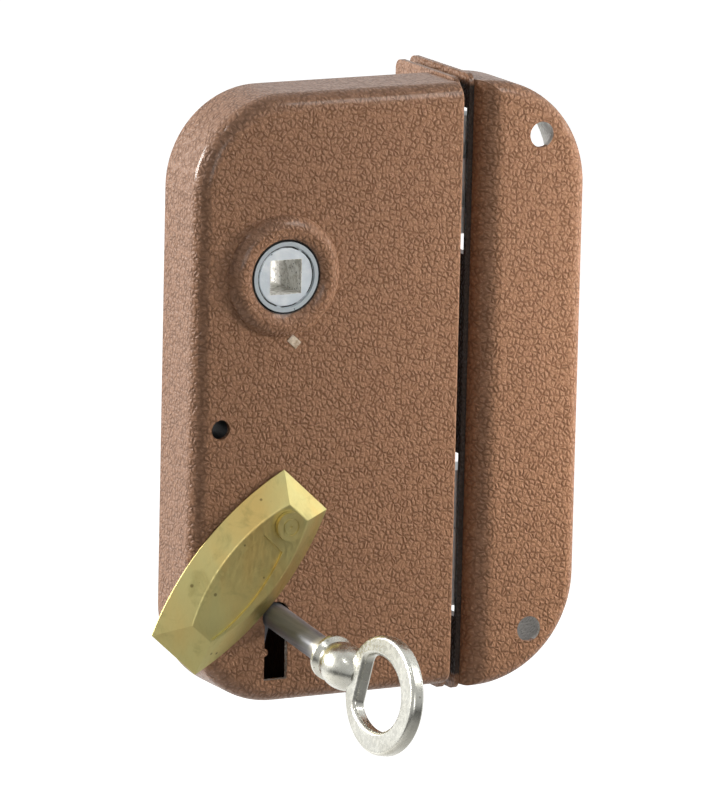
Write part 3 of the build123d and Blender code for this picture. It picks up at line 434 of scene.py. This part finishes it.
def plainMetal(name, look):  # sheet, turned or drawn metal with grain, clouds and small marks
    made, tree, shader, place = newFinish(name)
    lines = grainOn(tree, mapping(tree, place, scale=look["stretch"]), look["lines"], look["clouds"])
    marks = specksOn(tree, place, *look["marks"])
    face = mix(tree, lines["Clouds"], tint(*look["shade"]), tint(*look["face"]))
    if "collarEnd" in look:  # bright near the collar, with an uneven border
        forward = times(tree, split(tree, place)[1], -1.0)
        border = times(tree, noise(tree, place, metalShape["border scale"]), look["border"])
        collarEnd = fade(tree, plus(tree, forward, border), *look["from"])
        face = mix(tree, collarEnd, face, tint(*look["collarEnd"]))
    if "case inside shade" in look:  # painted shade: near black on the side away from the door, for the dim inside of the closed case
        depth = scaledPlus(tree, lines["Clouds"], look["border"], split(tree, place)[1])
        face = mix(tree, fade(tree, depth, *look["from"]), face, tint(*look["case inside shade"]))
    marked = times(tree, marks, metalShape["mark share"])
    feed(tree, shader["Base Color"], mix(tree, marked, face, tint(*look["mark"])))
    shader["Metallic"].default_value = look.get("metallic", 1.0)
    feed(tree, shader["Roughness"], roughOver(tree, lines["Lines"], look))
    height = minus(tree, times(tree, lines["Lines"], metalShape["line height"]), marks)
    feed(tree, shader["Normal"], bump(tree, height, look["relief"]))
    return made


def darkBore(name, look):  # a bush whose bore is painted near black behind its turned rim, as painted shade deep in the bore
    made, tree, shader, place = newFinish(name)
    lines = grainOn(tree, place, look["lines"], look["clouds"])
    depth = plus(tree, split(tree, place)[1], times(tree, noise(tree, place, look["border scale"]),
                                                      look["border"]))
    dark = fade(tree, depth, *look["darkens"])
    face = mix(tree, lines["Clouds"], tint(*look["shade"]), tint(*look["face"]))
    feed(tree, shader["Base Color"], mix(tree, dark, face, tint(*look["bore"])))
    feed(tree, shader["Metallic"], minus(tree, 1.0, dark))
    feed(tree, shader["Roughness"], roughOver(tree, lines["Lines"], look))
    feed(tree, shader["Normal"], bump(tree, lines["Lines"], look["relief"]))
    return made


bushLook = {
    "face": (220, 220, 214), "shade": (190, 190, 184), "bore": (3, 3, 4), "roughness": 0.3, "spread": 0.2,
    "lines": 3600.0, "clouds": 300.0, "darkens": (-0.0156, -0.0152), "border": 0.0003,
    "border scale": 500.0, "relief": 0.000005,
}
platedSheetLook = {
    "face": (206, 206, 200), "shade": (178, 180, 176), "mark": (110, 108, 100), "case inside shade": (52, 50, 48),
    "roughness": 0.24, "spread": 0.16, "stretch": (1, 1, 0.06), "lines": 2600.0, "clouds": 70.0,
    "marks": (420.0, 0.08), "relief": 0.00001, "border": 0.0001, "from": (-0.0004, -0.0007),
}
platedSteelLook = {
    "face": (210, 210, 204), "shade": (184, 184, 180), "mark": (112, 108, 98),
    "roughness": 0.2, "spread": 0.18, "stretch": (1, 0.2, 1), "lines": 3600.0, "clouds": 300.0,
    "marks": (900.0, 0.1), "relief": 0.00001,
}
springLook = {
    "face": (150, 152, 156), "shade": (116, 118, 122), "mark": (60, 56, 52),
    "roughness": 0.28, "spread": 0.14, "stretch": (1, 1, 1), "lines": 3000.0, "clouds": 400.0,
    "marks": (1500.0, 0.1), "relief": 0.000006,
}
shankLook = {
    "face": (146, 148, 154), "shade": (122, 124, 130), "mark": (72, 70, 70), "collarEnd": (205, 203, 196),
    "roughness": 0.3, "spread": 0.14, "metallic": 0.6, "stretch": (1, 0.05, 1), "lines": 2600.0,
    "clouds": 700.0, "marks": (900.0, 0.12), "relief": 0.00001, "border": 0.003, "from": (0.0372, 0.0415),
}
nickelLook = {
    "face": (206, 206, 198), "shade": (192, 191, 181), "mark": (150, 146, 134),
    "roughness": 0.22, "spread": 0.08, "stretch": (1, 1, 1), "lines": 1100.0, "clouds": 160.0,
    "marks": (700.0, 0.05), "relief": 0.000002,
}
tabLook = {
    "face": (222, 208, 188), "shade": (168, 146, 122), "mark": (104, 86, 68),
    "roughness": 0.42, "spread": 0.2, "metallic": 0.4, "stretch": (1, 1, 1), "lines": 3000.0,
    "clouds": 900.0, "marks": (1200.0, 0.4), "relief": 0.00002,
}

hammered = hammeredPaint("hammered_paint_case", paintLook)
finishes = {
    hammered: ["front_case", "face_plate"],
    hammeredPaint("hammered_paint_strike", paintLook, bareInside=True): ["strike_box"],
    hammeredPaint("hammered_paint_strike_plate", paintLook, facing=True): ["strike_plate"],
    zincCasting("zinc_hub", zincLook, socket=True): ["hub"],
    zincCasting("zinc_bolts", boltLook, metal=0.35): ["latch_bolt", "dead_bolt"],
    satinBrass("satin_brass_cover", brassLook): ["key_cover"],
    satinBrass("turned_brass_rivet", brassLook, turned=True): ["cover_rivet"],
    plainMetal("zinc_plated_sheet", platedSheetLook): ["back_plate", "lever_1", "lever_2", "lever_3"],
    plainMetal("zinc_plated_steel", platedSteelLook): [
        "case_pillars", "latch_guide_post", "latch_spring_seat", "bolt_guide_post", "bolt_stump",
        "lever_pivot_pin", "lever_spring_post"],
    darkBore("dark_bored_bush", bushLook): ["fixing_bush"],
    plainMetal("spring_steel_wire", springLook): [
        "hub_spring", "latch_spring", "lever_spring_1", "lever_spring_2", "lever_spring_3"],
    plainMetal("dark_drawn_steel", shankLook): ["key_shank"],
    plainMetal("bright_nickel", nickelLook): ["key_bow"],
    plainMetal("staked_tab", tabLook): ["spring_anchor"],
}
for finish, names in finishes.items():
    for name in names:
        nodes[name].material_slots[0].material = finish
platedSteel = nodes["case_pillars"].material_slots[0].material
print("finishes given:", len(finishes))


# Screws and rivets, grown on points

sharpAngle = math.radians(32)
screwSides, rivetSides, punchSides = 64, 48, 24


def newGrower(name, sizes):
    tree = bpy.data.node_groups.new(name, "GeometryNodeTree")
    tree.interface.new_socket(name="Points", in_out="INPUT", socket_type="NodeSocketGeometry")
    for label, value in sizes.items():
        kind = "NodeSocketInt" if isinstance(value, int) else "NodeSocketFloat"
        tree.interface.new_socket(name=label, in_out="INPUT", socket_type=kind).default_value = value
    tree.interface.new_socket(name="Finish", in_out="INPUT", socket_type="NodeSocketMaterial")
    tree.interface.new_socket(name="Pieces", in_out="OUTPUT", socket_type="NodeSocketGeometry")
    return tree, tree.nodes.new("NodeGroupInput").outputs, tree.nodes.new("NodeGroupOutput").inputs


def cylinder(tree, vertices, radius, depth):
    inputs = {"Vertices": vertices, "Radius": radius, "Depth": depth}
    return addNode(tree, "GeometryNodeMeshCylinder", inputs).outputs[0]


def cone(tree, vertices, depth, bottom, top=None):
    inputs = {"Vertices": vertices, "Radius Bottom": bottom, "Depth": depth}
    if top is not None:
        inputs["Radius Top"] = top
    return addNode(tree, "GeometryNodeMeshCone", inputs).outputs[0]


def shift(tree, shape, z):
    return addNode(tree, "GeometryNodeTransform", {"Geometry": shape,
                   "Translation": triple(tree, 0.0, 0.0, z)}).outputs[0]


def joined(tree, first, second, operation):  # a cut takes its body first, a union takes both alike
    made = addNode(tree, "GeometryNodeMeshBoolean", operation=operation, solver="EXACT")
    feed(tree, made.inputs[0 if operation == "DIFFERENCE" else 1], first)
    feed(tree, made.inputs[1], second)
    return made.outputs[0]


def spread(tree, start, end, shape, turn):  # one copy on each point, made real, with its finish
    put = addNode(tree, "GeometryNodeInstanceOnPoints",
                  {"Points": start["Points"], "Instance": shape, "Rotation": turn})
    real = addNode(tree, "GeometryNodeRealizeInstances", {"Geometry": put.outputs[0]})
    done = addNode(tree, "GeometryNodeSetMaterial",
                   {"Geometry": real.outputs[0], "Material": start["Finish"]})
    feed(tree, end["Pieces"], done.outputs[0])


def grow(name, tree, points, values, body, replaced):
    cloud = bpy.data.meshes.new(name + "Points")
    cloud.from_pydata(points, [], [])
    holder = bpy.data.objects.new(name + "Holder", cloud)
    scene.collection.objects.link(holder)
    modifier = holder.modifiers.new("grow", "NODES")
    modifier.node_group = tree
    for item in tree.interface.items_tree:
        if item.in_out == "INPUT" and item.name in values:
            modifier[item.identifier] = values[item.name]
    result = bpy.data.meshes.new_from_object(holder.evaluated_get(bpy.context.evaluated_depsgraph_get()))
    result.shade_smooth()
    result.set_sharp_from_angle(angle=sharpAngle)
    piece = bpy.data.objects.new(name, result)
    scene.collection.objects.link(piece)
    bpy.data.objects.remove(holder)
    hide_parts(replaced)
    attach(piece, body)
    print(name, "grown:", len(result.polygons), "faces")


screwSizes = {"Head Radius": 0.0024, "Head Depth": 0.0009, "Shank Radius": 0.0015, "Length": 0.009,
              "Slot Width": 0.0008, "Slot Depth": 0.0005, "Seed": 4}
screwPlaces = [(-0.001, 0, 0.0582), (0.023, 0, 0.00605), (-0.0185, 0, -0.0005), (0.015, 0, -0.057)]


def makeScrewTree(sizes):
    tree, start, end = newGrower("slottedScrews", sizes)
    head = cone(tree, screwSides, start["Head Depth"], start["Head Radius"], start["Shank Radius"])
    shank = cylinder(tree, screwSides, start["Shank Radius"], start["Length"])
    body = joined(tree, head, shift(tree, shank, times(tree, start["Length"], 0.5)), "UNION")
    across = times(tree, start["Head Radius"], 3.0)
    deep = times(tree, start["Slot Depth"], 2.0)
    slot = addNode(tree, "GeometryNodeMeshCube", {"Size": triple(tree, across, start["Slot Width"], deep)})
    body = joined(tree, body, slot.outputs[0], "DIFFERENCE")
    spin = addNode(tree, "FunctionNodeRandomValue", data_type="FLOAT")
    feed(tree, spin.inputs[2], 0.0)
    feed(tree, spin.inputs[3], math.pi)
    feed(tree, spin.inputs["Seed"], start["Seed"])
    spread(tree, start, end, body, triple(tree, math.pi / 2, spin.outputs[1], 0.0))
    return tree


rivetSizes = {"Shank Radius": 0.0015, "Shank Length": 0.0023, "Head Radius": 0.0023, "Head Height": 0.0005,
              "Punch Radius": 0.00045, "Punch Depth": 0.0003, "Turn": -math.pi / 2}
caseRivetPlaces = [(0.0321, -0.007, z) for z in (0.0605, 0.0241, -0.012, -0.06)]
strikeRivetPlaces = [(0.0343, -0.007, z) for z in (0.0613, 0.00585, -0.06055)]


def makeRivetTree(sizes):
    tree, start, end = newGrower("plateRivets", sizes)
    shank = cylinder(tree, rivetSides, start["Shank Radius"], start["Shank Length"])
    shank = shift(tree, shank, times(tree, start["Shank Length"], 0.5))
    top = times(tree, start["Head Radius"], 0.7)
    head = cone(tree, rivetSides, start["Head Height"], start["Head Radius"], top)
    body = joined(tree, shank, shift(tree, head, start["Shank Length"]), "UNION")
    punch = cone(tree, punchSides, start["Punch Depth"], start["Punch Radius"])
    clear = -0.00001  # keeps the punch mark's mouth off the rivet's own face
    body = joined(tree, body, shift(tree, punch, clear), "DIFFERENCE")
    spread(tree, start, end, body, triple(tree, 0.0, start["Turn"], 0.0))
    return tree


screwTree = makeScrewTree(screwSizes)
rivetTree = makeRivetTree(rivetSizes)
grow("slottedBackScrews", screwTree, screwPlaces, {**screwSizes, "Finish": platedSteel},
     "case", "back_plate_screws")
grow("facePlateRivets", rivetTree, caseRivetPlaces, {**rivetSizes, "Finish": hammered},
     "case", "face_plate_rivets")
grow("strikePlateRivets", rivetTree, strikeRivetPlaces,
     {**rivetSizes, "Turn": math.pi / 2, "Finish": hammered}, "strike", "strike_rivets")


# Floor, light and camera

studio = {
    "floor height": -0.35, "floor size": 9.0, "floor colour": (0.80, 0.80, 0.79, 1),
    "room": 0.12, "high front": 0.72, "low front": 0.35,  # the room's light, and its front in mirrors
    "right share": 0.5,  # how far mirrors count the right side as behind
    "floor behind": (-0.05, 0.35), "floor lift": (0.3, 1.2, 0.5, 1.0),
    "room behind": (-0.1, 0.3), "front rises": (-0.4, 0.5),
    # name: (direction from the lock, distance, width, height, light level at the lock, colour, in mirrors)
    "lamps": {
        "rightKey": ((0.88, -0.44, 0.05), 0.20, 0.05, 0.07, 1.12, (1.0, 0.98, 0.95), False),
        "highKey": ((0.50, -0.58, 0.64), 0.32, 0.12, 0.12, 0.34, (1.0, 0.98, 0.96), True),
        "rightSpark": ((0.95, -0.10, 0.22), 0.80, 0.03, 0.06, 0.07, (1.0, 1.0, 1.0), True),
        "leftBehind": ((-0.76, 0.58, 0.30), 0.80, 0.25, 0.30, 1.55, (1.0, 0.97, 0.94), True),
        "frontFill": ((-0.20, -0.96, 0.18), 0.90, 0.30, 0.30, 0.14, (1.0, 0.99, 0.98), True),
        "leftSpark": ((-0.53, -0.20, 0.83), 0.80, 0.04, 0.04, 0.06, (1.0, 1.0, 1.0), True),
    },
}


def seenBy(tree, *kinds):  # 1 for rays of these kinds
    path = tree.nodes.new("ShaderNodeLightPath").outputs
    total = path[kinds[0]]
    for kind in kinds[1:]:
        total = larger(tree, total, path[kind])
    return total


def makeFloor():
    half = studio["floor size"] / 2
    level = studio["floor height"]
    corners = [(x, y, level) for x, y in ((-half, -half), (half, -half), (half, half), (-half, half))]
    mesh = bpy.data.meshes.new("paleFloor")
    mesh.from_pydata(corners, [], [(0, 1, 2, 3)])
    floor = bpy.data.objects.new("paleFloor", mesh)
    scene.collection.objects.link(floor)
    made = bpy.data.materials.new("pale_floor")
    made.use_nodes = True
    tree = made.node_tree
    tree.nodes.remove(tree.nodes["Principled BSDF"])
    x, y, z = split(tree, tree.nodes.new("ShaderNodeTexCoord").outputs["Object"])
    away = calc(tree, "SQRT", plus(tree, times(tree, x, x), times(tree, y, y)))
    behind = fade(tree, scaledPlus(tree, x, studio["right share"], y), *studio["floor behind"])
    mirrored = times(tree, seenBy(tree, "Is Glossy Ray"), behind)
    seen = larger(tree, seenBy(tree, "Is Camera Ray", "Is Transmission Ray"), mirrored)
    lift = times(tree, seen, fade(tree, away, *studio["floor lift"]))  # leaves the lock's shadow
    plain = addNode(tree, "ShaderNodeBsdfDiffuse", {"Color": studio["floor colour"]})
    glow = addNode(tree, "ShaderNodeEmission", {"Color": (1, 1, 1, 1), "Strength": lift})
    both = addNode(tree, "ShaderNodeAddShader", {0: plain.outputs[0], 1: glow.outputs[0]})
    feed(tree, tree.nodes["Material Output"].inputs["Surface"], both.outputs[0])
    mesh.materials.append(made)


def makeRoom():
    world = bpy.data.worlds.new("studioRoom")
    scene.world = world
    world.use_nodes = True
    tree = world.node_tree
    x, y, z = split(tree, tree.nodes.new("ShaderNodeTexCoord").outputs["Generated"])
    front = fade(tree, z, *studio["front rises"], studio["low front"], studio["high front"])
    behind = scaledPlus(tree, x, studio["right share"], y)
    mirrored = fade(tree, behind, *studio["room behind"], front, 1.0)
    level = mix(tree, seenBy(tree, "Is Glossy Ray"), (studio["room"],) * 3 + (1,), mirrored)
    level = mix(tree, seenBy(tree, "Is Camera Ray", "Is Transmission Ray"), level, (1, 1, 1, 1))
    feed(tree, tree.nodes["Background"].inputs["Color"], level)
    feed(tree, tree.nodes["Background"].inputs["Strength"], 1.0)


def makeLamp(name, direction, distance, width, height, level, shade, mirrored):
    lamp = bpy.data.lights.new(name, "AREA")
    lamp.shape = "RECTANGLE"
    lamp.size, lamp.size_y, lamp.color = width, height, shade
    lamp.energy = level * (math.pi * distance) ** 2  # at level 1 a facing surface shows its own colour
    made = bpy.data.objects.new(name, lamp)
    made.location = Vector(direction).normalized() * distance
    made.rotation_euler = made.location.to_track_quat("Z", "Y").to_euler()
    made.visible_glossy = mirrored
    scene.collection.objects.link(made)


view = {
    "azimuth": 27.51, "elevation": 11.825, "roll": 1.322, "aim": (0.009, -0.016, 0.0),
    "distance": 1.73403, "right": -0.000409, "up": -0.001105, "lens": 371.0, "sensor": 36.0,
}


def makeCamera():
    azimuth, elevation, roll = (math.radians(view[k]) for k in ("azimuth", "elevation", "roll"))
    ahead = Vector((math.sin(azimuth) * math.cos(elevation), math.cos(azimuth) * math.cos(elevation),
                    -math.sin(elevation)))
    level = Vector((math.cos(azimuth), -math.sin(azimuth), 0))
    steep = level.cross(ahead)
    right = level * math.cos(roll) + steep * math.sin(roll)
    up = steep * math.cos(roll) - level * math.sin(roll)
    lens = bpy.data.cameras.new("photoView")
    lens.sensor_fit = "VERTICAL"
    lens.sensor_height = view["sensor"]
    lens.lens = view["lens"]
    lens.clip_start, lens.clip_end = 0.05, 30
    camera = bpy.data.objects.new("photoView", lens)
    turn = Matrix((right, up, -ahead)).transposed().to_4x4()
    spot = Vector(view["aim"]) - ahead * view["distance"] + right * view["right"] + up * view["up"]
    camera.matrix_world = Matrix.Translation(spot) @ turn
    scene.collection.objects.link(camera)
    scene.camera = camera


makeFloor()
makeRoom()
for name, values in studio["lamps"].items():
    makeLamp(name, *values)
makeCamera()
scene.view_settings.view_transform = "Standard"
print("studio ready")
